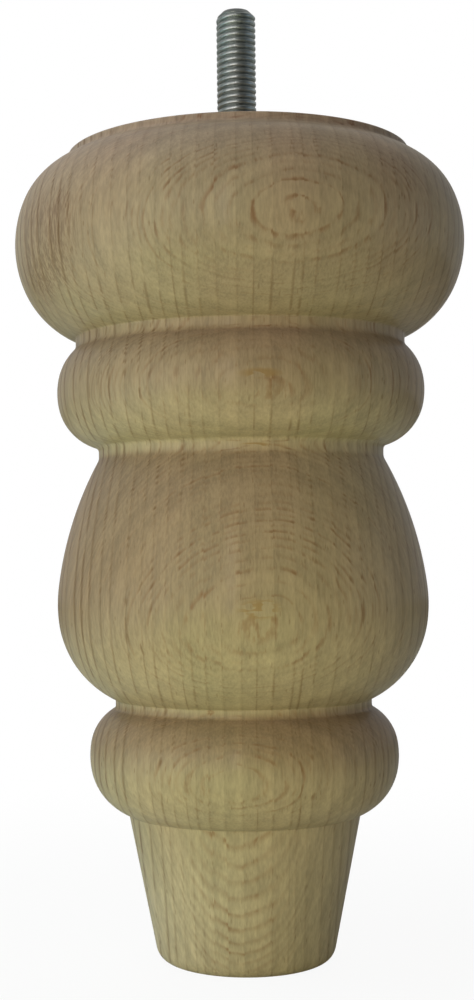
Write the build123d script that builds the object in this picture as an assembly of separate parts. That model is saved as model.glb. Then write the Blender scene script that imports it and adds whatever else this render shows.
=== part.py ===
"""Turned beech furniture leg with a steel hanger bolt standing out of its top.

Millimetres, +Z up, origin at the centre of the flat underside of the foot.
Heights are stacked from the foot upwards, so a change in one member lifts the ones above it.
"""

import os
from math import cos, radians, sin

from build123d import *

# Foot: a plain taper with a rounded lower edge
FOOT_H = 28.9
FOOT_BOTTOM_DIA = 34.5
FOOT_TOP_DIA = 46.0
FOOT_ROUND = 3.5

# Lower bead, and the plain neck above it
LOWER_BEAD_H = 20.8
LOWER_BEAD_DIA = 61.2
LOWER_BEAD_RISE = 11.5
LOWER_BEAD_CROWN_R = 16.0
LOWER_BEAD_CROWN_ANGLE = 9.0
LOWER_NECK_H = 1.7
LOWER_NECK_DIA = 50.9

# Bowl, and the plain neck above it
BOWL_H = 47.6
BOWL_DIA = 73.6
BOWL_RISE = 18.9
BOWL_CROWN_R = 28.0
BOWL_CROWN_ANGLE = 7.0
MIDDLE_NECK_H = 2.4
MIDDLE_NECK_DIA = 56.8

# Upper bead, and the plain neck above it
UPPER_BEAD_H = 19.7
UPPER_BEAD_DIA = 73.2
UPPER_BEAD_RISE = 10.9
UPPER_BEAD_CROWN_R = 14.5
UPPER_BEAD_CROWN_ANGLE = 11.0
UPPER_NECK_H = 2.1
UPPER_NECK_DIA = 65.7

# Head: the widest swelling, with a low collar as the seat against the furniture
HEAD_H = 35.2
HEAD_DIA = 89.6
HEAD_RISE = 18.5
HEAD_CROWN_R = 22.0
HEAD_CROWN_ANGLE = 22.0
COLLAR_H = 1.6
COLLAR_DIA = 68.4
COLLAR_EASE = 0.5

# Hanger bolt: M8 stud outside, wood screw inside, and the countersunk bore that holds it
STUD_DIA = 8.0
STUD_OUT = 29.5
STUD_CHAMFER = 1.25
SCREW_DIA = 6.8
SCREW_LENGTH = 40.0
SCREW_POINT = 7.0
SCREW_TIP_DIA = 1.0
BORE_CLEARANCE = 0.05
MOUTH_CLEARANCE = 0.5

# Heights of the creases between the members
LOWER_BEAD_TOP = FOOT_H + LOWER_BEAD_H
BOWL_BASE = LOWER_BEAD_TOP + LOWER_NECK_H
BOWL_TOP = BOWL_BASE + BOWL_H
UPPER_BEAD_BASE = BOWL_TOP + MIDDLE_NECK_H
UPPER_BEAD_TOP = UPPER_BEAD_BASE + UPPER_BEAD_H
HEAD_BASE = UPPER_BEAD_TOP + UPPER_NECK_H
HEAD_TOP = HEAD_BASE + HEAD_H
LEG_H = HEAD_TOP + COLLAR_H


def swelling(base, top, dia, rise, crown_r, crown_angle):
    """Outline of one swelling: a crown arc, and an arc tangent to it down to each crease."""
    turn = radians(crown_angle)
    centre = (dia / 2 - crown_r, base[1] + rise)
    reach = centre[0] + crown_r * cos(turn)
    half = crown_r * sin(turn)
    low = (reach, centre[1] - half)
    high = (reach, centre[1] + half)
    TangentArc(low, base, tangent=(-sin(turn), -cos(turn)))
    CenterArc(centre, crown_r, -crown_angle, 2 * crown_angle)
    TangentArc(high, top, tangent=(-sin(turn), cos(turn)))


def screw_outline(grow):
    """Outline of the hidden wood screw below the seat, grown outwards by a clearance."""
    radius = SCREW_DIA / 2 + grow
    tip_radius = SCREW_TIP_DIA / 2 + grow
    tip = LEG_H - SCREW_LENGTH - grow
    Polyline(
        (0, LEG_H),
        (radius, LEG_H),
        (radius, tip + SCREW_POINT),
        (tip_radius, tip),
        (0, tip),
        close=True,
    )


# Turned leg: one closed outline spun about the axis, then the eased rims and the countersunk bore
with BuildPart() as leg:
    with BuildSketch(Plane.XZ):
        with BuildLine():
            foot_crease = (FOOT_TOP_DIA / 2, FOOT_H)
            lower_neck_low = (LOWER_NECK_DIA / 2, LOWER_BEAD_TOP)
            lower_neck_high = (LOWER_NECK_DIA / 2, BOWL_BASE)
            middle_neck_low = (MIDDLE_NECK_DIA / 2, BOWL_TOP)
            middle_neck_high = (MIDDLE_NECK_DIA / 2, UPPER_BEAD_BASE)
            upper_neck_low = (UPPER_NECK_DIA / 2, UPPER_BEAD_TOP)
            upper_neck_high = (UPPER_NECK_DIA / 2, HEAD_BASE)
            collar_low = (COLLAR_DIA / 2, HEAD_TOP)
            Polyline((0, LEG_H), (0, 0), (FOOT_BOTTOM_DIA / 2, 0), foot_crease)
            swelling(
                foot_crease,
                lower_neck_low,
                LOWER_BEAD_DIA,
                LOWER_BEAD_RISE,
                LOWER_BEAD_CROWN_R,
                LOWER_BEAD_CROWN_ANGLE,
            )
            Line(lower_neck_low, lower_neck_high)
            swelling(lower_neck_high, middle_neck_low, BOWL_DIA, BOWL_RISE, BOWL_CROWN_R, BOWL_CROWN_ANGLE)
            Line(middle_neck_low, middle_neck_high)
            swelling(
                middle_neck_high,
                upper_neck_low,
                UPPER_BEAD_DIA,
                UPPER_BEAD_RISE,
                UPPER_BEAD_CROWN_R,
                UPPER_BEAD_CROWN_ANGLE,
            )
            Line(upper_neck_low, upper_neck_high)
            swelling(upper_neck_high, collar_low, HEAD_DIA, HEAD_RISE, HEAD_CROWN_R, HEAD_CROWN_ANGLE)
            Polyline(collar_low, (COLLAR_DIA / 2, LEG_H), (0, LEG_H))
        make_face()
    revolve(axis=Axis.Z)
    fillet(leg.edges().group_by(Axis.Z)[0], FOOT_ROUND)
    chamfer(leg.edges().group_by(Axis.Z)[-1], COLLAR_EASE)
    with BuildSketch(Plane.XZ):
        with BuildLine():
            screw_outline(BORE_CLEARANCE)
        make_face()
    revolve(axis=Axis.Z, mode=Mode.SUBTRACT)
    mouth_edge = leg.edges().filter_by(GeomType.CIRCLE).group_by(Axis.Z)[-1].sort_by(SortBy.RADIUS)[0]
    chamfer(mouth_edge, STUD_DIA / 2 + MOUTH_CLEARANCE - mouth_edge.radius)

# Hanger bolt: the stud with a chamfered end, and the wood screw below its shoulder
with BuildPart() as bolt:
    with BuildSketch(Plane.XZ):
        with BuildLine():
            screw_outline(0.0)
        make_face()
    revolve(axis=Axis.Z)
    with BuildSketch(Plane.XY.offset(LEG_H)):
        Circle(STUD_DIA / 2)
    extrude(amount=STUD_OUT)
    chamfer(bolt.edges().group_by(Axis.Z)[-1], STUD_CHAMFER)

os.makedirs("parts", exist_ok=True)
export_step(leg.part, "parts/turned_leg.step")
export_step(bolt.part, "parts/hanger_bolt.step")
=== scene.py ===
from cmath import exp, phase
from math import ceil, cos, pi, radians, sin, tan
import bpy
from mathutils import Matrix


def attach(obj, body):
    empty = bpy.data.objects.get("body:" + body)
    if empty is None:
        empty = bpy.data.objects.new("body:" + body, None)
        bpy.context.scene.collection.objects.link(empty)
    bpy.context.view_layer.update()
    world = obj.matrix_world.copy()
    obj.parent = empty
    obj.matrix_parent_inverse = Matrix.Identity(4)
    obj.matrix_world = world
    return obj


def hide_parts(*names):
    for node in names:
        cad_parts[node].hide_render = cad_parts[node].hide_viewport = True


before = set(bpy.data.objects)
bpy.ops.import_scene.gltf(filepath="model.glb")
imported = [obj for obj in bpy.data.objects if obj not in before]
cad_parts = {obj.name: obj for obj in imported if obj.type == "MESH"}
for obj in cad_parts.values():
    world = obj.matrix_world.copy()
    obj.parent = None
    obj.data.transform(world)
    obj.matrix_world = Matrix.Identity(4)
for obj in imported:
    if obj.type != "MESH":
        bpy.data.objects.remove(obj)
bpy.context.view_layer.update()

# Turned beech furniture leg with a zinc-plated hanger bolt.
# The outline follows the part's own sizes in millimetres. The head and the stud are 0.1 less across, so that
# the finer meshes stay inside the part's box. Every mesh is made in metres.

from types import SimpleNamespace

import bmesh
import bpy
from mathutils import Matrix, Vector

MM = 0.001

# Foot
FOOT_H = 28.9
FOOT_BOTTOM_DIA = 34.5
FOOT_TOP_DIA = 46.0
FOOT_ROUND = 3.5

# Swellings from the floor upwards: height, widest diameter, height of the widest ring above the base,
# radius of the crown arc, and half its angle in degrees
LOWER_BEAD = (20.8, 61.2, 11.5, 16.0, 9.0)
BOWL = (47.6, 73.6, 18.9, 28.0, 7.0)
UPPER_BEAD = (19.7, 73.2, 10.9, 14.5, 11.0)
HEAD = (35.2, 89.5, 18.5, 22.0, 22.0)

# Necks above the swellings, and the collar on the head: height, diameter, and the radii that soften
# the creases below and above
LOWER_NECK = (1.7, 50.9, 0.9, 0.5)
MIDDLE_NECK = (2.4, 56.8, 2.2, 1.3)
UPPER_NECK = (2.1, 65.7, 1.8, 0.5)
COLLAR = (1.6, 68.4, 1.2, 0.5)
FOOT_CREASE_ROUND = 0.5

# Hanger bolt and its countersunk bore
LEG_H = 160.0
STUD_R = 3.95
STUD_OUT = 29.5
STUD_CHAMFER = 1.25
STUD_RIM = 0.12
THREAD_PITCH = 1.25
THREAD_DEPTH = 0.45
THREAD_START = 0.5
SCREW_R = 3.4
SCREW_LENGTH = 40.0
SCREW_POINT = 7.0
SCREW_TIP_R = 0.5
BORE_CLEARANCE = 0.05
MOUTH_R = 4.5

# Mesh density: steps along the outline in millimetres, and segments around the axis
OUTLINE_STEP = 0.9
EASED_STEP = 0.3
LEG_SEGMENTS = 256
BOLT_SEGMENTS = 64

# Angle in degrees from which an edge stays sharp, and reach in metres within which the bolt's points merge
SHARP_ANGLE = 40.0
WELD = 1e-7
TOO_SHORT = 1e-8


# Outline of the turned leg


def arc_points(centre, start, sweep):
    """Points after start on the arc about centre, at the outline's step. Points are complex numbers."""
    count = max(3, ceil(abs(start - centre) * abs(sweep) / OUTLINE_STEP))
    return [centre + (start - centre) * exp(1j * sweep * k / count) for k in range(1, count + 1)]


def tangent_arc(start, heading, end):
    """Points after start on the arc that leaves start along heading and lands on end."""
    chord = end - start
    sweep = 2 * phase(chord / heading)
    centre = start + 1j * heading * abs(chord) / (2 * sin(sweep / 2))
    return arc_points(centre, start, sweep)


def swelling(base, top, size):
    """Points after base up to top: a crown arc, and an arc tangent to it from each crease."""
    _, dia, rise, crown_r, crown_angle = size
    turn = radians(crown_angle)
    centre = complex(dia / 2 - crown_r, base.imag + rise)
    low = centre + crown_r * exp(-1j * turn)
    high = centre + crown_r * exp(1j * turn)
    shoulder = tangent_arc(low, -1j * exp(-1j * turn), base)[::-1]
    crown = arc_points(centre, low, 2 * turn)
    upper = tangent_arc(high, 1j * exp(1j * turn), top)
    return shoulder[1:] + [low] + crown + upper[:-1] + [top]


def neck(base, size):
    """The two ends of a plain neck that stands on the height of base."""
    height, dia = size[:2]
    return [complex(dia / 2, base.imag), complex(dia / 2, base.imag + height)]


def crossing(points, k, step, reach):
    """The place along the outline at that reach from its corner k, and the index of the next point."""
    left = reach
    while left > abs(points[k + step] - points[k]):
        left -= abs(points[k + step] - points[k])
        k += step
    run = points[k + step] - points[k]
    return points[k] + run * left / abs(run), k + step


def eased(points, corner, radius):
    """The outline with one corner softened: a curve that leaves both sides at the reach of the radius."""
    k = points.index(corner)
    before = (points[k - 1] - corner) / abs(points[k - 1] - corner)
    after = (points[k + 1] - corner) / abs(points[k + 1] - corner)
    reach = radius / tan(abs(phase(after / before)) / 2)
    start, low = crossing(points, k, -1, reach)
    end, high = crossing(points, k, 1, reach)
    count = max(4, ceil(2 * reach / EASED_STEP))
    curve = []
    for i in range(count + 1):
        t = i / count
        curve.append(start * (1 - t) ** 2 + corner * 2 * t * (1 - t) + end * t ** 2)
    return points[:low + 1] + curve + points[high:]


def divided(points, step):
    """The outline with its long straight runs cut into steps, so that faces stay near square."""
    out = [points[0]]
    for a, b in zip(points, points[1:]):
        count = max(1, ceil(abs(b - a) / step))
        out += [a + (b - a) * k / count for k in range(1, count + 1)]
    return out


def leg_outline():
    """Outline from the axis under the foot, up the outside, across the seat and down the bore."""
    foot_low = complex(FOOT_BOTTOM_DIA / 2, 0)
    foot_high = complex(FOOT_TOP_DIA / 2, FOOT_H)
    points = [0j, foot_low, foot_high]
    creases = [(foot_high, FOOT_CREASE_ROUND)]
    members = [(LOWER_BEAD, LOWER_NECK), (BOWL, MIDDLE_NECK), (UPPER_BEAD, UPPER_NECK), (HEAD, COLLAR)]
    for body, band in members:
        base = points[-1]
        top = complex(band[1] / 2, base.imag + body[0])
        low, high = neck(top, band)
        points += swelling(base, low, body)
        points.append(high)
        creases += [(low, band[2]), (high, band[3])]
    bore_r = SCREW_R + BORE_CLEARANCE
    tip = LEG_H - SCREW_LENGTH - BORE_CLEARANCE
    points += [
        complex(MOUTH_R, LEG_H),
        complex(bore_r, LEG_H - MOUTH_R + bore_r),
        complex(bore_r, tip + SCREW_POINT),
        complex(SCREW_TIP_R + BORE_CLEARANCE, tip),
        complex(0, tip),
    ]
    for corner, radius in [(foot_low, FOOT_ROUND)] + creases:
        points = eased(points, corner, radius)
    return divided(points, OUTLINE_STEP)


def spun(name, outline, segments):
    """A closed mesh spun about Z from an outline whose first and last points are on the axis."""
    rings = outline[1:-1]
    verts = [(0, 0, outline[0].imag * MM), (0, 0, outline[-1].imag * MM)]
    for p in rings:
        for s in range(segments):
            a = 2 * pi * s / segments
            verts.append((p.real * cos(a) * MM, p.real * sin(a) * MM, p.imag * MM))
    faces = []
    last = 2 + (len(rings) - 1) * segments
    for s in range(segments):
        t = (s + 1) % segments
        faces.append((0, 2 + t, 2 + s))
        for k in range(len(rings) - 1):
            low = 2 + k * segments
            high = low + segments
            faces.append((low + s, low + t, high + t, high + s))
        faces.append((1, last + s, last + t))
    mesh = bpy.data.meshes.new(name)
    mesh.from_pydata(verts, [], faces)
    return placed(name, mesh)


def placed(name, mesh):
    """A smooth shaded object of that mesh in the scene, with its sharp edges kept."""
    mesh.polygons.foreach_set("use_smooth", [True] * len(mesh.polygons))
    mesh.set_sharp_from_angle(angle=radians(SHARP_ANGLE))
    piece = bpy.data.objects.new(name, mesh)
    bpy.context.scene.collection.objects.link(piece)
    return piece


# Hanger bolt

# One turn of the thread from crest to crest: share of the pitch, and share of the depth below the crest
THREAD_FORM = [
    (0.0, 0.0),
    (0.12, 0.02),
    (0.22, 0.1),
    (0.31, 0.32),
    (0.4, 0.74),
    (0.46, 0.96),
    (0.5, 1.0),
    (0.54, 0.96),
    (0.6, 0.74),
    (0.69, 0.32),
    (0.78, 0.1),
    (0.88, 0.02),
]


def thread_point(share, z, foot, head):
    """Radius and height of a thread point, run out at its foot and chamfered at its head."""
    radius = STUD_R - THREAD_DEPTH * share
    if z <= foot:
        return SCREW_R, foot
    if z >= head:
        return STUD_R - STUD_CHAMFER, head
    return min(radius, SCREW_R + z - foot, STUD_R - STUD_CHAMFER + head - z), z


def hanger_bolt():
    """The bolt: a right-hand helical thread on the stud, and a plain pointed screw in the wood."""
    foot = LEG_H - THREAD_START
    head = LEG_H + STUD_OUT
    tip = LEG_H - SCREW_LENGTH
    form = len(THREAD_FORM)
    turns = ceil((head - foot) / THREAD_PITCH) + 1
    grid = bmesh.new()
    rings = []

    def ring(radius, z):
        row = []
        for s in range(BOLT_SEGMENTS):
            a = 2 * pi * s / BOLT_SEGMENTS
            row.append(grid.verts.new((radius * cos(a) * MM, radius * sin(a) * MM, z * MM)))
        return row

    def strip(low, high):
        for s in range(BOLT_SEGMENTS):
            t = (s + 1) % BOLT_SEGMENTS
            grid.faces.new((low[s], low[t], high[t], high[s]))

    # Plain screw in the wood
    rows = [ring(SCREW_TIP_R, tip), ring(SCREW_R, tip + SCREW_POINT), ring(SCREW_R, foot)]
    for low, high in zip(rows, rows[1:]):
        strip(low, high)
    point = grid.verts.new((0, 0, tip * MM))
    for s in range(BOLT_SEGMENTS):
        grid.faces.new((point, rows[0][(s + 1) % BOLT_SEGMENTS], rows[0][s]))

    # Helical rows: one turn later a row carries on as the row one pitch higher
    for k in range((turns + 1) * form + 1):
        share, depth = THREAD_FORM[k % form]
        row = []
        for s in range(BOLT_SEGMENTS):
            a = 2 * pi * s / BOLT_SEGMENTS
            climb = k // form + share + s / BOLT_SEGMENTS - 1
            radius, z = thread_point(depth, foot + THREAD_PITCH * climb, foot, head)
            row.append(grid.verts.new((radius * cos(a) * MM, radius * sin(a) * MM, z * MM)))
        rings.append(row)
    for k in range(len(rings) - 1 - form):
        for s in range(BOLT_SEGMENTS - 1):
            grid.faces.new((rings[k][s], rings[k][s + 1], rings[k + 1][s + 1], rings[k + 1][s]))
        seam_low, seam_high = rings[k + form][0], rings[k + form + 1][0]
        grid.faces.new((rings[k][-1], seam_low, seam_high, rings[k + 1][-1]))

    # Flat end, with a narrow ring inside its rim
    end_r = STUD_R - STUD_CHAMFER
    rows = [ring(end_r, head), ring(end_r - STUD_RIM, head)]
    strip(rows[0], rows[1])
    middle = grid.verts.new((0, 0, head * MM))
    for s in range(BOLT_SEGMENTS):
        grid.faces.new((middle, rows[1][s], rows[1][(s + 1) % BOLT_SEGMENTS]))

    bmesh.ops.remove_doubles(grid, verts=grid.verts, dist=WELD)
    bmesh.ops.dissolve_degenerate(grid, edges=grid.edges, dist=TOO_SHORT)
    loose = [v for v in grid.verts if not v.link_faces]
    bmesh.ops.delete(grid, geom=loose, context="VERTS")
    bmesh.ops.recalc_face_normals(grid, faces=grid.faces)
    mesh = bpy.data.meshes.new("threaded_bolt")
    grid.to_mesh(mesh)
    grid.free()
    return placed("threaded_bolt", mesh)


# Material helpers


def put(tree, kind, inputs, **settings):
    """Adds a node; an input is given as a value or as the socket that feeds it."""
    node = tree.nodes.new(kind)
    for key, value in settings.items():
        setattr(node, key, value)
    for key, value in inputs.items():
        if isinstance(value, bpy.types.NodeSocket):
            tree.links.new(value, node.inputs[key])
        else:
            node.inputs[key].default_value = value
    return node


def maths(tree, operation, *values, clamp=False):
    """The result of a Math node."""
    node = put(tree, "ShaderNodeMath", dict(enumerate(values)), operation=operation, use_clamp=clamp)
    return node.outputs[0]


def times(tree, first, *rest):
    """The product of all the values."""
    product = first
    for value in rest:
        product = maths(tree, "MULTIPLY", product, value)
    return product


def scaled(tree, value, factor, base):
    """The value times a factor, on top of a base."""
    return maths(tree, "MULTIPLY_ADD", value, factor, base)


def vector(tree, operation, *values):
    """The vector that a Vector Math node gives."""
    node = put(tree, "ShaderNodeVectorMath", dict(enumerate(values)), operation=operation)
    return node.outputs["Vector"]


def measured(tree, operation, *values):
    """The number that a Vector Math node gives."""
    node = put(tree, "ShaderNodeVectorMath", dict(enumerate(values)), operation=operation)
    return node.outputs["Value"]


def millimetres(tree, at):
    """A place in metres, given in millimetres."""
    node = put(tree, "ShaderNodeVectorMath", {0: at, "Scale": 1 / MM}, operation="SCALE")
    return node.outputs["Vector"]


def split(tree, at):
    """The three coordinates of a vector."""
    return put(tree, "ShaderNodeSeparateXYZ", {0: at}).outputs[:3]


def ramp(tree, value, span, result=(0.0, 1.0)):
    """The value carried smoothly from a span to a result."""
    inputs = {"Value": value, "From Min": span[0], "From Max": span[1]}
    inputs.update({"To Min": result[0], "To Max": result[1]})
    return put(tree, "ShaderNodeMapRange", inputs, interpolation_type="SMOOTHSTEP").outputs["Result"]


def falling(tree, value, span):
    """1 before the span and 0 after it."""
    return ramp(tree, value, span, (1.0, 0.0))


def between(tree, value, rise, fall):
    """1 from the end of the rise to the start of the fall, and 0 outside both."""
    return times(tree, ramp(tree, value, rise), falling(tree, value, fall))


def noise(tree, at, scale, detail=2.0, roughness=0.5):
    """A noise value about 0.5 at the given place."""
    inputs = {"Vector": at, "Scale": scale, "Detail": detail, "Roughness": roughness}
    return put(tree, "ShaderNodeTexNoise", inputs).outputs["Fac"]


def drawn_out(tree, at, grain, scale, detail=2.0, roughness=0.5):
    """A noise value about 0.5 whose grain is drawn out along an axis by a small factor for it."""
    return noise(tree, vector(tree, "MULTIPLY", at, grain), scale, detail, roughness)


def noise_along(tree, value, scale, detail):
    """A noise value about 0.5 that changes with one number."""
    inputs = {"W": value, "Scale": scale, "Detail": detail}
    return put(tree, "ShaderNodeTexNoise", inputs, noise_dimensions="1D").outputs["Fac"]


def drift(tree, at, scale, detail, reach):
    """A noise vector about zero, with its own reach along each axis."""
    inputs = {"Vector": at, "Scale": scale, "Detail": detail}
    colour = put(tree, "ShaderNodeTexNoise", inputs).outputs["Color"]
    return vector(tree, "MULTIPLY", vector(tree, "SUBTRACT", colour, (0.5, 0.5, 0.5)), reach)


def mixed(tree, share, a, b, blend="MIX"):
    """Two colours mixed by share."""
    inputs = {"Factor": share, 6: a, 7: b}
    return put(tree, "ShaderNodeMix", inputs, data_type="RGBA", blend_type=blend).outputs[2]


def new_material(name):
    """An empty node material and its output node."""
    material = bpy.data.materials.new(name)
    material.use_nodes = True
    material.node_tree.nodes.clear()
    return material, material.node_tree, material.node_tree.nodes.new("ShaderNodeOutputMaterial")


# Beech

SAPWOOD = (0.38, 0.288, 0.175, 1)
SAPWOOD_WARM = (0.385, 0.278, 0.172, 1)
# Painted light on the foot
FOOT_PAINTED_LIGHT = (0.46, 0.357, 0.235, 1)
# Brown of browner grain, also the painted shade of the browner stretches
BROWN_WOOD_AND_SHADE = (0.2, 0.105, 0.06, 1)
LATEWOOD = (0.225, 0.1, 0.04, 1)
FLECK = (0.17, 0.09, 0.038, 1)
CROWN_FLECK = (0.3, 0.17, 0.06, 1)
FRESH_CUT = (0.41, 0.305, 0.2, 1)

# Far pith that leans to one side, waves along the leg and bows towards the front, in millimetres
PITH_X = 7.1
PITH_LEAN = -0.15
PITH_WAVE = 2.9
PITH_WAVE_LENGTH = 73.0
PITH_WAVE_Z = 40.0
PITH_Y = 81.0
PITH_BOW = 0.13
PITH_BOW_Z = 18.0
PITH_BOW_SOFT = 20.0

# How the grain wanders from the straight: slow bends drawn out along the leg, and a small shiver
LONG_GRAIN = (1.0, 1.0, 0.3)
BEND_SCALE = 0.04
BEND_REACH = (1.6, 0.6, 0.0)
SHIVER_SCALE = 0.3
SHIVER_REACH = (0.3, 0.22, 0.0)

# Yearly rings: width in millimetres, and by how many years they run ahead or late
RING_WIDTH = 0.6
RING_DRIFT = 5.0
RING_DRIFT_SCALE = 0.12
FIRST_YEAR = 13215.3

# Ring that the crown of each swelling has just reached: height of the neck below it, and the shift in years
CROWN_YEARS = [(50.5, -0.44), (100.2, -0.22), (121.5, -0.1)]
CROWN_BLEND = 2.0

# Bands between the broad rays, at a reach from the pith, and the years by which a ring dips from one band
# to the next, less where the surface lies along the rings
BAND_REACH = 100.0
BAND_WIDTH = 2.4
BAND_DIP = 0.45
DIP_SLOPE = (0.1, 0.4)
DIP_LYING = 0.4 * BAND_DIP

# Share of the surface's normal at which it counts as lying along the rays, as a flank, as an underside
# and as end grain
ALONG_RAYS = (0.84, 0.96)
FLANK = (0.5, 0.9)
UNDERSIDE = (-0.45, -0.1)
END_GRAIN = (0.85, 0.97)
END_GRAIN_LEAST = 0.35

# Dark line that closes a year: width in millimetres, least and most share of the year, and its profile
LINE_WIDTH = 1.7
LINE_LEAST = 0.2
LINE_MOST = 0.9
LINE_SETS_IN = (0.0, 0.4)
LINE_FADES = (0.35, 1.0)
LINE_SHARE = 0.7
HARD_YEAR = (0.45, 0.8)

# How the lines weaken where the surface cuts the rings steeply, and away from the edges of the bands
SOFT_SLOPE = (0.25, 0.8)
SOFT_SHARE = 0.4
SOFT_SHARE_IN_FOOT = 0.2
STEEP_SLOPE = (0.2, 0.7)
STEEP_LINE = 0.35
LINE_EDGE = (0.05, 0.3)
LINE_EDGE_SHARE = (1.15, 0.7)

# Dashes into which the lines break, and the calmer lines of the foot
DASH_GRAIN = (1.0, 1.0, 0.35)
DASH_SCALE = 0.45
DASH_NOISE = (0.42, 0.58)
DASH_LEAST = 0.08
FOOT_BLEND = (FOOT_H - 3.0, FOOT_H + 1.0)
FOOT_DASH_LEAST = 0.5
FOOT_SLOPE = (0.2, 0.42)
FOOT_FADE = (0.1, 0.6)

# Short ticks where a ring meets the edge of a band, mostly at the sides
TICK_EDGE = (0.02, 0.2)
TICK_SLOPE = (0.12, 0.4)
TICK_SIDE = (0.15, 0.45)
TICK_FRONT = 0.2
TICK_UNDER = (-0.5, -0.2)
TICK_UNDER_LEAST = 0.3
TICK_DASH = (0.2, 0.8)
TICK_DASH_LEAST = 0.35
TICK_SOFT_YEAR = 0.4
TICK_FOOT_LOSS = 0.6
TICK_SHARE = 0.75

# Calmer grain at the right, and on the left front of the head
CALM_RIGHT = (0.1, 0.5)
CALM_RIGHT_LEAST = 0.5
CLEAR_RISE = (-0.75, -0.6)
CLEAR_FALL = (-0.3, -0.1)
CLEAR_Z = (126.0, 132.0)
CLEAR_LOSS = 0.6

# Vessel lines between the bands: grain of their breaks, width by slope and flank, and their strength
VESSEL_GRAIN = (1.0, 1.0, 0.07)
VESSEL_SCALE = 0.5
VESSEL_BREAK = (0.3, 0.55)
VESSEL_WIDTH = 0.07
VESSEL_WIDTH_BY_SLOPE = 0.13
VESSEL_WIDTH_BY_FLANK = 0.06
VESSEL_SLOPE = (0.2, 0.75)
VESSEL_LYING = 0.15
VESSEL_OWN = (0.1, 0.9)
VESSEL_OWN_LEAST = 0.15
VESSEL_OWN_BY_FLANK = 0.5
VESSEL_FRONT = 0.45
VESSEL_CALM = 0.5
VESSEL_SHARE = 0.62
VESSEL_SHARE_BY_FLANK = 0.15

# Ray flecks: thin plates that run out from the pith, cut across as short dashes
RAY_GRAIN = (1.0, 0.1, 0.25)
RAY_SCALE = 0.9
RAY_WIDTH = (0.06, 0.16)
RAY_SHARE = 0.32
RAY_SHARE_BY_FLANK = 0.3

# Red-brown flecks where the crowns of the bowl and the upper bead just touch a ring
CROWN_RISE = (55.0, 60.0)
CROWN_FALL = (117.0, 120.0)
CROWN_SLOPE = (0.03, 0.085)
CROWN_GRAIN = (0.5, 0.5, 1.2)
CROWN_SCALE = 0.9
CROWN_BREAK = (0.42, 0.52)
CROWN_SHARE = 0.72

# Warmer patches of sapwood, and painted light that makes the foot paler, palest at the left
PATCH_SCALE = 0.05
PATCH_NOISE = (0.35, 0.65)
PALE_Z = (12.0, 42.0)
PALE_SHARE = 0.42
PALE_LEFT_X = (-12.0, 8.0)
PALE_LEFT_Z = (12.0, 32.0)
PALE_LEFT_SHARE = 0.4

# Browner stretches, browner grain mixed with painted shade on the ledges below the necks and under the head:
# heights where one sets in, is full, fades and is gone, and its strength at the left and at the right
BROWN_AND_SHADE_X = (-30.0, 25.0)
BROWN_AND_SHADE_STRETCHES = [
    (37.0, 45.0, 50.0, 51.5, 0.5, 0.44),
    (56.0, 73.0, 98.8, 100.3, 0.5, 0.06),
    (101.5, 113.0, 123.3, 124.0, 0.22, 0.22),
    (123.3, 124.0, 129.0, 143.0, 0.16, 0.28),
]

# Rougher brown patch on the left of the head, strongest in the low fibres
ROUGH_Z_RISE = (124.0, 132.0)
ROUGH_Z_FALL = (144.0, 151.0)
ROUGH_SIDE_RISE = (-0.97, -0.88)
ROUGH_SIDE_FALL = (-0.74, -0.6)
ROUGH_FRONT = (-0.4, -0.1)
ROUGH_FUZZ = (0.35, 0.65)
ROUGH_SHARE = (0.5, 0.15)

# Freshly cut rim of the collar
FRESH_Z = (157.9, 158.5)
FRESH_SHARE = 0.8

# Light and dark of the grain: long streaks, fibres, bands, and runs of darker and lighter years
STREAK_GRAIN = (1.0, 1.0, 0.02)
STREAK_SCALE = 0.4
STREAK_TONE = (0.9, 1.04)
FUZZ_GRAIN = (1.0, 1.0, 0.18)
FUZZ_SCALE = 2.4
FUZZ_NOISE = (0.25, 0.75)
FUZZ_TONE = (-0.11, 0.11)
BAND_TONE = 0.08
BAND_SIDE_TONE = 0.12
SEASON_SCALE = 0.4
SEASON_TONE = (-0.06, 0.06)
TONE_NOISE = (0.3, 0.7)

# Fine relief of fibres, turning marks, ring lines and vessels, and the finish
TURNING_GRAIN = (0.02, 0.02, 1.0)
TURNING_SCALE = 1.6
TURNING_RELIEF = 0.35
FUZZ_RELIEF = 0.6
LINE_RELIEF = -0.15
VESSEL_RELIEF = -0.5
WOOD_BUMP = {"Strength": 0.35, "Distance": 0.00011}
WOOD_ROUGH_NOISE = (0.2, 0.8)
WOOD_ROUGH = (0.48, 0.6)
WOOD_FINISH = {"Specular IOR Level": 0.2, "Coat Weight": 0.15, "Coat Roughness": 0.17}


def leg_place(tree):
    """Where a point of the leg is, in millimetres, and which way its surface faces."""
    coords = put(tree, "ShaderNodeTexCoord", {}).outputs
    mm = millimetres(tree, coords["Object"])
    x, y, z = split(tree, mm)
    right, back, up = split(tree, coords["Normal"])
    flank = ramp(tree, maths(tree, "ABSOLUTE", right), FLANK)
    end_grain = ramp(tree, maths(tree, "ABSOLUTE", up), END_GRAIN, (1.0, END_GRAIN_LEAST))
    in_foot = falling(tree, z, FOOT_BLEND)
    clear = between(tree, right, CLEAR_RISE, CLEAR_FALL)
    clear = times(tree, clear, ramp(tree, z, CLEAR_Z, (0.0, CLEAR_LOSS)))
    calm = maths(tree, "SUBTRACT", ramp(tree, right, CALM_RIGHT, (1.0, CALM_RIGHT_LEAST)), clear)
    fuzz = drawn_out(tree, mm, FUZZ_GRAIN, FUZZ_SCALE, detail=2.0, roughness=0.6)
    return SimpleNamespace(
        mm=mm, x=x, y=y, z=z, right=right, back=back, up=up,
        flank=flank, end_grain=end_grain, in_foot=in_foot, calm=calm, fuzz=fuzz,
    )


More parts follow.
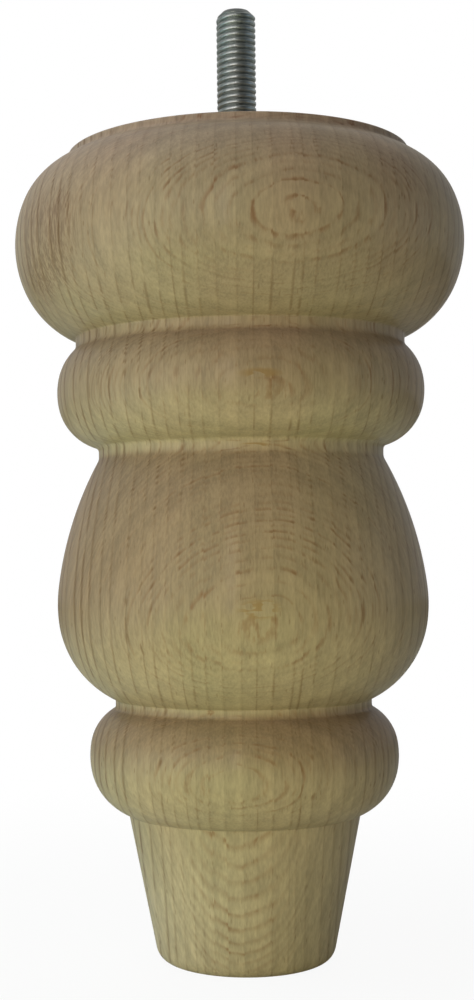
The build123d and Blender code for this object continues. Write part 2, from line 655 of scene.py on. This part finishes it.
def ray_bands(tree, at):
    """Straight bands along the leg between the broad rays, which run out from the pith."""
    turn = maths(tree, "ARCTAN2", at.x, maths(tree, "SUBTRACT", PITH_Y, at.y))
    arc = maths(tree, "MULTIPLY", turn, BAND_REACH)
    inputs = {"W": arc, "Scale": 1 / BAND_WIDTH}
    cells = put(tree, "ShaderNodeTexVoronoi", inputs, voronoi_dimensions="1D").outputs
    lines = {"voronoi_dimensions": "1D", "feature": "DISTANCE_TO_EDGE"}
    edges = put(tree, "ShaderNodeTexVoronoi", inputs, **lines).outputs["Distance"]
    tone, own, dip = put(tree, "ShaderNodeSeparateColor", {0: cells["Color"]}).outputs[:3]
    beside = maths(tree, "DIVIDE", maths(tree, "SUBTRACT", arc, cells["W"]), BAND_WIDTH)
    place = put(tree, "ShaderNodeCombineXYZ", {0: arc, 1: at.y, 2: at.z}).outputs[0]
    return SimpleNamespace(edges=edges, tone=tone, own=own, dip=dip, beside=beside, place=place)


def pith_cut(tree, at):
    """Distance from the pith, and how the surface cuts the wood.

    The slope is 0 where it lies along the rings and 1 straight across them; rays is 0 where it lies along
    the rays, and no band shows.
    """
    bend = drift(tree, vector(tree, "MULTIPLY", at.mm, LONG_GRAIN), BEND_SCALE, detail=1.0, reach=BEND_REACH)
    shiver = drift(tree, at.mm, SHIVER_SCALE, detail=2.0, reach=SHIVER_REACH)
    grain = split(tree, vector(tree, "ADD", vector(tree, "ADD", at.mm, bend), shiver))
    wave = times(tree, maths(tree, "SUBTRACT", at.z, PITH_WAVE_Z), 2 * pi / PITH_WAVE_LENGTH)
    pith_x = scaled(tree, maths(tree, "COSINE", wave), PITH_WAVE, scaled(tree, at.z, PITH_LEAN, PITH_X))
    above = maths(tree, "SUBTRACT", at.z, PITH_BOW_Z)
    bow = maths(tree, "SQRT", scaled(tree, above, above, PITH_BOW_SOFT ** 2))
    pith_y = scaled(tree, bow, -PITH_BOW, PITH_Y)
    across = maths(tree, "SUBTRACT", grain[0], pith_x)
    outward = maths(tree, "SUBTRACT", pith_y, grain[1])
    distance = maths(tree, "SQRT", scaled(tree, across, across, times(tree, outward, outward)))
    along = maths(tree, "SUBTRACT", times(tree, at.right, across), times(tree, at.back, outward))
    along = maths(tree, "DIVIDE", along, distance)
    slope = maths(tree, "SQRT", maths(tree, "SUBTRACT", 1.0, times(tree, along, along), clamp=True))
    beside = scaled(tree, at.back, across, times(tree, at.right, outward))
    beside = maths(tree, "ABSOLUTE", maths(tree, "DIVIDE", beside, distance))
    return SimpleNamespace(distance=distance, slope=slope, rays=falling(tree, beside, ALONG_RAYS))


def yearly_rings(tree, at, bands, cut):
    """Rings of uneven width: their age, how hard each year was, and the dark line that closes it."""
    late = noise_along(tree, cut.distance, RING_DRIFT_SCALE, detail=1.0)
    age = scaled(tree, late, RING_DRIFT, maths(tree, "DIVIDE", cut.distance, RING_WIDTH))
    dip = times(tree, bands.dip, ramp(tree, cut.slope, DIP_SLOPE, (DIP_LYING, BAND_DIP)), cut.rays)
    age = maths(tree, "ADD", age, maths(tree, "ADD", dip, FIRST_YEAR))
    for neck_z, shift in CROWN_YEARS:
        span = (neck_z - CROWN_BLEND, neck_z + CROWN_BLEND)
        age = maths(tree, "ADD", age, ramp(tree, at.z, span, (0.0, shift)))
    year = maths(tree, "FLOOR", age)
    strong = put(tree, "ShaderNodeTexWhiteNoise", {"W": year}, noise_dimensions="1D").outputs["Value"]
    width = maths(tree, "MAXIMUM", times(tree, cut.slope, LINE_WIDTH / RING_WIDTH), LINE_LEAST)
    width = maths(tree, "MINIMUM", width, LINE_MOST)
    left = maths(tree, "SUBTRACT", 1.0, maths(tree, "FRACT", age))
    part = maths(tree, "DIVIDE", left, width)
    closing = times(tree, falling(tree, part, LINE_FADES), ramp(tree, part, LINE_SETS_IN))
    dash_noise = drawn_out(tree, at.mm, DASH_GRAIN, DASH_SCALE, detail=3.0, roughness=0.6)
    dashes = ramp(tree, dash_noise, DASH_NOISE, (DASH_LEAST, 1.0))
    return SimpleNamespace(age=age, strong=strong, closing=closing, dashes=dashes)


def ring_lines(tree, at, bands, cut, rings):
    """Dark lines of the rings: bold in hard years, faint in soft ones, and broken into dashes."""
    hard = ramp(tree, rings.strong, HARD_YEAR)
    soft = maths(tree, "SUBTRACT", 1.0, hard)
    faint = scaled(tree, at.in_foot, SOFT_SHARE_IN_FOOT, SOFT_SHARE)
    dashes = maths(tree, "MAXIMUM", rings.dashes, times(tree, at.in_foot, FOOT_DASH_LEAST))
    paler = times(tree, at.in_foot, ramp(tree, cut.slope, FOOT_SLOPE, FOOT_FADE))
    return times(
        tree,
        rings.closing,
        scaled(tree, soft, ramp(tree, cut.slope, SOFT_SLOPE, (faint, 0.0)), hard),
        ramp(tree, cut.slope, STEEP_SLOPE, (1.0, STEEP_LINE)),
        dashes,
        maths(tree, "SUBTRACT", 1.0, paler),
        ramp(tree, bands.edges, LINE_EDGE, LINE_EDGE_SHARE),
    )


def ring_ticks(tree, at, bands, cut, rings):
    """Short dark ticks where a ring meets the edge of a band."""
    aside = maths(tree, "ABSOLUTE", at.right)
    return times(
        tree,
        rings.closing,
        falling(tree, bands.edges, TICK_EDGE),
        cut.rays,
        ramp(tree, cut.slope, TICK_SLOPE),
        scaled(tree, rings.strong, 1.0 - TICK_SOFT_YEAR, TICK_SOFT_YEAR),
        ramp(tree, aside, TICK_SIDE, (TICK_FRONT, 1.0)),
        ramp(tree, at.up, TICK_UNDER, (TICK_UNDER_LEAST, 1.0)),
        ramp(tree, rings.dashes, TICK_DASH, (TICK_DASH_LEAST, 1.0)),
        scaled(tree, at.in_foot, -TICK_FOOT_LOSS, 1.0),
        at.calm,
    )


def vessel_lines(tree, at, bands, cut):
    """Thin dark lines of vessels between the bands, whole at the flanks and on undersides."""
    breaks = drawn_out(tree, bands.place, VESSEL_GRAIN, VESSEL_SCALE, detail=1.0)
    broad = scaled(tree, cut.slope, VESSEL_WIDTH_BY_SLOPE, VESSEL_WIDTH)
    broad = scaled(tree, at.flank, VESSEL_WIDTH_BY_FLANK, broad)
    least = scaled(tree, at.flank, VESSEL_OWN_BY_FLANK, VESSEL_OWN_LEAST)
    whole = maths(tree, "MAXIMUM", at.flank, falling(tree, at.up, UNDERSIDE))
    return times(
        tree,
        falling(tree, bands.edges, (0.0, broad)),
        ramp(tree, breaks, VESSEL_BREAK),
        ramp(tree, cut.slope, VESSEL_SLOPE, (VESSEL_LYING, 1.0)),
        ramp(tree, bands.own, VESSEL_OWN, (least, 1.0)),
        cut.rays,
        scaled(tree, whole, 1.0 - VESSEL_FRONT, VESSEL_FRONT),
        scaled(tree, at.calm, 1.0 - VESSEL_CALM, VESSEL_CALM),
        scaled(tree, at.flank, VESSEL_SHARE_BY_FLANK, VESSEL_SHARE),
        at.end_grain,
    )


def ray_flecks(tree, at, bands):
    """Rays cut across as short dashes."""
    inputs = {"Vector": vector(tree, "MULTIPLY", bands.place, RAY_GRAIN), "Scale": RAY_SCALE}
    cells = put(tree, "ShaderNodeTexVoronoi", inputs).outputs["Distance"]
    return times(tree, falling(tree, cells, RAY_WIDTH), scaled(tree, at.flank, RAY_SHARE_BY_FLANK, RAY_SHARE))


def crown_flecks(tree, at, cut):
    """Flecks on the crowns that just touch a ring."""
    broken = drawn_out(tree, at.mm, CROWN_GRAIN, CROWN_SCALE, detail=1.0)
    return times(
        tree,
        between(tree, at.z, CROWN_RISE, CROWN_FALL),
        falling(tree, cut.slope, CROWN_SLOPE),
        ramp(tree, broken, CROWN_BREAK),
        CROWN_SHARE,
    )


def sapwood_with_painted_light(tree, at):
    """Colour of the wood between its lines: patches, painted light on the pale foot, browner stretches that
    are partly painted shade, and the fresh rim.
    """
    patches = drawn_out(tree, at.mm, LONG_GRAIN, PATCH_SCALE, detail=1.0)
    colour = mixed(tree, ramp(tree, patches, PATCH_NOISE), SAPWOOD, SAPWOOD_WARM)
    # Painted light: the foot paler near the floor and palest at the left
    pale = ramp(tree, at.z, PALE_Z, (PALE_SHARE, 0.0))
    pale_left = ramp(tree, at.x, PALE_LEFT_X, (PALE_LEFT_SHARE, 0.0))
    pale_left = times(tree, pale_left, falling(tree, at.z, PALE_LEFT_Z))
    colour = mixed(tree, maths(tree, "ADD", pale, pale_left, clamp=True), colour, FOOT_PAINTED_LIGHT)
    # Browner stretches: browner grain mixed with painted shade on the ledges below the necks and under the
    # head
    for sets_in, full, fades, gone, at_left, at_right in BROWN_AND_SHADE_STRETCHES:
        stretch = between(tree, at.z, (sets_in, full), (fades, gone))
        stretch = times(tree, stretch, ramp(tree, at.x, BROWN_AND_SHADE_X, (at_left, at_right)))
        colour = mixed(tree, stretch, colour, BROWN_WOOD_AND_SHADE)
    rough = times(
        tree,
        between(tree, at.z, ROUGH_Z_RISE, ROUGH_Z_FALL),
        between(tree, at.right, ROUGH_SIDE_RISE, ROUGH_SIDE_FALL),
        falling(tree, at.back, ROUGH_FRONT),
        ramp(tree, at.fuzz, ROUGH_FUZZ, ROUGH_SHARE),
    )
    colour = mixed(tree, rough, colour, BROWN_WOOD_AND_SHADE)
    return mixed(tree, ramp(tree, at.z, FRESH_Z, (0.0, FRESH_SHARE)), colour, FRESH_CUT)


def grain_tone(tree, at, bands, cut, rings):
    """Light and dark of streaks, fibres, bands and years, as a grey to multiply by."""
    streaks = drawn_out(tree, bands.place, STREAK_GRAIN, STREAK_SCALE, detail=3.0, roughness=0.6)
    seasons = noise_along(tree, rings.age, SEASON_SCALE, detail=2.0)
    fibres = ramp(tree, at.fuzz, FUZZ_NOISE, FUZZ_TONE)
    tone = maths(tree, "ADD", ramp(tree, streaks, TONE_NOISE, STREAK_TONE), fibres)
    band_tone = scaled(tree, bands.tone, BAND_TONE, times(tree, bands.beside, BAND_SIDE_TONE))
    tone = scaled(tree, band_tone, times(tree, cut.rays, at.end_grain), tone)
    tone = maths(tree, "ADD", tone, ramp(tree, seasons, TONE_NOISE, SEASON_TONE))
    return put(tree, "ShaderNodeCombineColor", {0: tone, 1: tone, 2: tone}).outputs[0]


def beech():
    """Raw beech as one solid texture: rings, bands, vessel lines and flecks run on through the whole leg."""
    material, tree, output = new_material("beech_raw")
    at = leg_place(tree)
    bands = ray_bands(tree, at)
    cut = pith_cut(tree, at)
    rings = yearly_rings(tree, at, bands, cut)
    lines = ring_lines(tree, at, bands, cut, rings)
    ticks = ring_ticks(tree, at, bands, cut, rings)
    vessels = vessel_lines(tree, at, bands, cut)

    colour = mixed(tree, 1.0, sapwood_with_painted_light(tree, at), grain_tone(tree, at, bands, cut, rings), "MULTIPLY")
    colour = mixed(tree, times(tree, lines, LINE_SHARE), colour, LATEWOOD)
    colour = mixed(tree, crown_flecks(tree, at, cut), colour, CROWN_FLECK)
    colour = mixed(tree, vessels, colour, FLECK)
    colour = mixed(tree, times(tree, ticks, TICK_SHARE), colour, FLECK)
    colour = mixed(tree, ray_flecks(tree, at, bands), colour, FLECK)

    turning = drawn_out(tree, at.mm, TURNING_GRAIN, TURNING_SCALE, detail=2.0)
    relief = scaled(tree, at.fuzz, FUZZ_RELIEF, times(tree, lines, LINE_RELIEF))
    relief = scaled(tree, turning, TURNING_RELIEF, relief)
    relief = scaled(tree, maths(tree, "ADD", vessels, ticks), VESSEL_RELIEF, relief)
    bump = put(tree, "ShaderNodeBump", {"Height": relief, **WOOD_BUMP}).outputs[0]
    rough = ramp(tree, at.fuzz, WOOD_ROUGH_NOISE, WOOD_ROUGH)
    inputs = {"Base Color": colour, "Roughness": rough, "Normal": bump, **WOOD_FINISH}
    shader = put(tree, "ShaderNodeBsdfPrincipled", inputs)
    tree.links.new(shader.outputs[0], output.inputs["Surface"])
    return material


# Zinc plate

ZINC = (0.46, 0.5, 0.475, 1)
ZINC_DULL = (0.33, 0.365, 0.345, 1)
# Colour of the painted shade in the thread roots
THREAD_ROOT_SHADE = (0.17, 0.18, 0.168, 1)
MOTTLE_SCALE = 0.9
SPECKLE_SCALE = 6.0
PLATE_NOISE = (0.3, 0.7)
PLATE_ROUGH = (0.33, 0.46)
SPECKLE_ROUGH = (-0.03, 0.05)
PLATE_BUMP = {"Strength": 0.15, "Distance": 0.00003}
# Painted shade in the thread roots: radii over which it sets in, its share, and how unevenly the mottle
# spreads it
ROOT_SHADE_RADIUS = (STUD_R - THREAD_DEPTH + 0.2, STUD_R)
ROOT_SHADE_SHARE = 0.75
ROOT_SHADE_UNEVEN = 0.5


def zinc():
    """Zinc plate on the rolled thread: dull mottled plate, and painted shade that darkens the roots between
    the crests.
    """
    material, tree, output = new_material("zinc_plate")
    mm = millimetres(tree, put(tree, "ShaderNodeTexCoord", {}).outputs["Object"])
    radius = measured(tree, "LENGTH", vector(tree, "MULTIPLY", mm, (1.0, 1.0, 0.0)))
    mottle = noise(tree, mm, MOTTLE_SCALE, detail=4.0, roughness=0.6)
    speckle = noise(tree, mm, SPECKLE_SCALE, detail=2.0)
    # Painted shade: darker towards the thread roots
    root_shade = ramp(tree, scaled(tree, mottle, ROOT_SHADE_UNEVEN, radius), ROOT_SHADE_RADIUS, (ROOT_SHADE_SHARE, 0.0))
    colour = mixed(tree, ramp(tree, mottle, PLATE_NOISE), ZINC, ZINC_DULL)
    colour = mixed(tree, root_shade, colour, THREAD_ROOT_SHADE)
    dull = ramp(tree, mottle, PLATE_NOISE, PLATE_ROUGH)
    rough = maths(tree, "ADD", dull, ramp(tree, speckle, PLATE_NOISE, SPECKLE_ROUGH))
    bump = put(tree, "ShaderNodeBump", {"Height": speckle, **PLATE_BUMP}).outputs[0]
    inputs = {"Base Color": colour, "Roughness": rough, "Normal": bump, "Metallic": 1.0}
    shader = put(tree, "ShaderNodeBsdfPrincipled", inputs)
    tree.links.new(shader.outputs[0], output.inputs["Surface"])
    return material


# Stage: floor, surroundings, lamps and camera

FLOOR_HALF = 3.0
FLOOR_GAP = 0.0001
FLOOR_TONE = (0.79, 0.8, 0.7, 1)
PAPER_REACH = (0.03, 0.25)
PAPER_SHARE = (0.93, 1.0)
WHITE = (1, 1, 1, 1)
AMBIENT = (0.03, 0.03, 0.03, 1)
ROOM = (0.4, 0.4, 0.4, 1)
BACKDROP = (0.55, 0.55, 0.55, 1)
BACKDROP_SPAN = (-0.2, 0.6)
DARK_CORNER = (0.03, 0.03, 0.03, 1)
CORNER_WAY = (0.7, -0.7, 0)
CORNER_SPAN = (0.35, 0.75)


def floor():
    """A plain pale floor that looks white to the camera and keeps the leg's soft shadow."""
    mesh = bpy.data.meshes.new("floor")
    corners = [(-1, -1), (1, -1), (1, 1), (-1, 1)]
    mesh.from_pydata([(a * FLOOR_HALF, b * FLOOR_HALF, 0) for a, b in corners], [], [(0, 1, 2, 3)])
    plane = bpy.data.objects.new("floor", mesh)
    plane.location.z = -FLOOR_GAP
    bpy.context.scene.collection.objects.link(plane)
    material, tree, output = new_material("floor_pale")
    place = put(tree, "ShaderNodeTexCoord", {}).outputs["Object"]
    paper = ramp(tree, measured(tree, "LENGTH", place), PAPER_REACH, PAPER_SHARE)
    seen = put(tree, "ShaderNodeLightPath", {}).outputs["Is Camera Ray"]
    matte = put(tree, "ShaderNodeBsdfDiffuse", {"Color": FLOOR_TONE})
    glow = put(tree, "ShaderNodeEmission", {"Color": WHITE, "Strength": 1.0})
    inputs = {0: times(tree, seen, paper), 1: matte.outputs[0], 2: glow.outputs[0]}
    blend = put(tree, "ShaderNodeMixShader", inputs)
    tree.links.new(blend.outputs[0], output.inputs["Surface"])
    mesh.materials.append(material)


def surroundings():
    """White to the camera; shiny surfaces see a pale backdrop, a dim room and a dark corner."""
    world = bpy.data.worlds.new("studio")
    world.use_nodes = True
    tree = world.node_tree
    tree.nodes.clear()
    paths = put(tree, "ShaderNodeLightPath", {}).outputs
    way = put(tree, "ShaderNodeTexCoord", {}).outputs["Generated"]
    back = measured(tree, "DOT_PRODUCT", way, (0, 1, 0))
    corner = measured(tree, "DOT_PRODUCT", way, CORNER_WAY)
    room = mixed(tree, ramp(tree, back, BACKDROP_SPAN), ROOM, BACKDROP)
    room = mixed(tree, ramp(tree, corner, CORNER_SPAN), room, DARK_CORNER)
    colour = mixed(tree, paths["Is Glossy Ray"], AMBIENT, room)
    seen = maths(tree, "MAXIMUM", paths["Is Camera Ray"], paths["Is Transmission Ray"])
    colour = mixed(tree, seen, colour, WHITE)
    sky = put(tree, "ShaderNodeBackground", {"Color": colour, "Strength": 1.0})
    output = tree.nodes.new("ShaderNodeOutputWorld")
    tree.links.new(sky.outputs[0], output.inputs["Surface"])
    bpy.context.scene.world = world


# Lamps: name, place and aim in metres, width, height, watts and colour
AT_MIDDLE = (0, 0, 0.09)
AT_UPPER_BEAD = (0, 0, 0.12)
AT_LOWER_BEAD = (0, 0, 0.05)
LAMPS = [
    ("window", (-0.345, -0.55, 0.15), AT_MIDDLE, 0.7, 0.5, 1.45, (1.0, 0.92, 0.98)),
    ("window_low", (-0.345, -0.55, 0.04), AT_MIDDLE, 0.7, 0.25, 0.38, (1.0, 0.76, 0.4)),
    ("strip", (-0.07, -0.62, 0.23), (0, 0, 0.08), 0.04, 0.42, 0.31, (1.0, 0.92, 0.9)),
    ("right", (0.65, -0.05, 0.1), AT_MIDDLE, 0.5, 0.5, 0.42, (0.55, 0.74, 1.0)),
    ("low_left", (-0.3, -0.15, 0.012), AT_UPPER_BEAD, 0.3, 0.3, 0.18, (0.4, 0.8, 1.0)),
    ("low_near_front", (-0.035, -0.14, 0.006), AT_LOWER_BEAD, 0.25, 0.12, 0.155, (0.8, 1.0, 0.35)),
    ("low_near_left", (-0.14, -0.05, 0.006), AT_LOWER_BEAD, 0.15, 0.2, 0.06, (0.5, 1.0, 0.9)),
    ("behind", (0, 0.7, 0.15), AT_MIDDLE, 0.15, 0.4, 0.8, (0.9, 0.98, 1.0)),
]
FILL_LAMPS = [
    ("left", (-0.65, -0.12, 0.1), AT_MIDDLE, 0.5, 0.5, 0.55, (0.6, 0.8, 1.0)),
    ("over", (-0.2, -0.06, 0.6), (0, 0, 0.14), 0.35, 0.3, 0.92, (0.91, 0.99, 1.0)),
    ("top", (-0.35, 0, 0.65), AT_MIDDLE, 0.5, 0.5, 0.42, (0.12, 0.25, 1.0)),
    ("rim_left", (-0.45, 0.25, 0.45), AT_UPPER_BEAD, 0.3, 0.3, 0.2, (0.75, 0.9, 1.0)),
    ("back_left", (-0.25, 0.6, 0.55), AT_MIDDLE, 0.4, 0.4, 0.85, (1.0, 0.98, 0.95)),
    ("back_right", (0.25, 0.6, 0.55), AT_MIDDLE, 0.4, 0.4, 0.85, (1.0, 0.98, 0.95)),
]


def lamp(name, place, aim, width, height, watts, colour):
    """A soft rectangular lamp at a place, turned towards its aim."""
    light = bpy.data.lights.new(name, "AREA")
    light.shape = "RECTANGLE"
    light.size = width
    light.size_y = height
    light.energy = watts
    light.color = colour
    holder = bpy.data.objects.new(name, light)
    holder.location = place
    holder.rotation_euler = (Vector(aim) - Vector(place)).to_track_quat("-Z", "Y").to_euler()
    holder.visible_camera = False
    bpy.context.scene.collection.objects.link(holder)
    return holder


def lamps():
    """A wide window in front at the left with lamps low, beside and behind, and fill that leaves no gleam."""
    for row in LAMPS:
        lamp(*row)
    for row in FILL_LAMPS:
        lamp(*row).visible_glossy = False


FOCAL_PX = 1586.4
LONG_SIDE_PX = 1000.0
SENSOR = 36.0
CAMERA_AWAY = 0.31806
CAMERA_UP = 0.08073
CAMERA_TILT = 1.849
CAMERA_TURN = 2.597
CAMERA_ROLL = -0.56
CAMERA_SHIFT = 0.0678
CAMERA_NEAR = 0.01


def camera():
    """The camera at the photograph's place, close in front of the leg."""
    data = bpy.data.cameras.new("camera")
    data.sensor_width = SENSOR
    data.lens = FOCAL_PX / LONG_SIDE_PX * SENSOR
    data.shift_x = CAMERA_SHIFT
    data.clip_start = CAMERA_NEAR
    holder = bpy.data.objects.new("camera", data)
    turn = Matrix.Rotation(radians(CAMERA_TURN), 4, "Z")
    tilt = Matrix.Rotation(radians(90 + CAMERA_TILT), 4, "X")
    roll = Matrix.Rotation(radians(CAMERA_ROLL), 4, "Z")
    holder.matrix_world = Matrix.Translation((0, -CAMERA_AWAY, CAMERA_UP)) @ turn @ tilt @ roll
    bpy.context.scene.collection.objects.link(holder)
    bpy.context.scene.camera = holder


# Put the pieces together

leg = spun("beech_leg", leg_outline(), LEG_SEGMENTS)
leg.data.materials.append(beech())
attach(leg, "root")
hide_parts("turned_leg")

bolt = hanger_bolt()
bolt.data.materials.append(zinc())
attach(bolt, "root")
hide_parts("hanger_bolt")

floor()
surroundings()
lamps()
camera()
bpy.context.scene.view_settings.view_transform = "Standard"
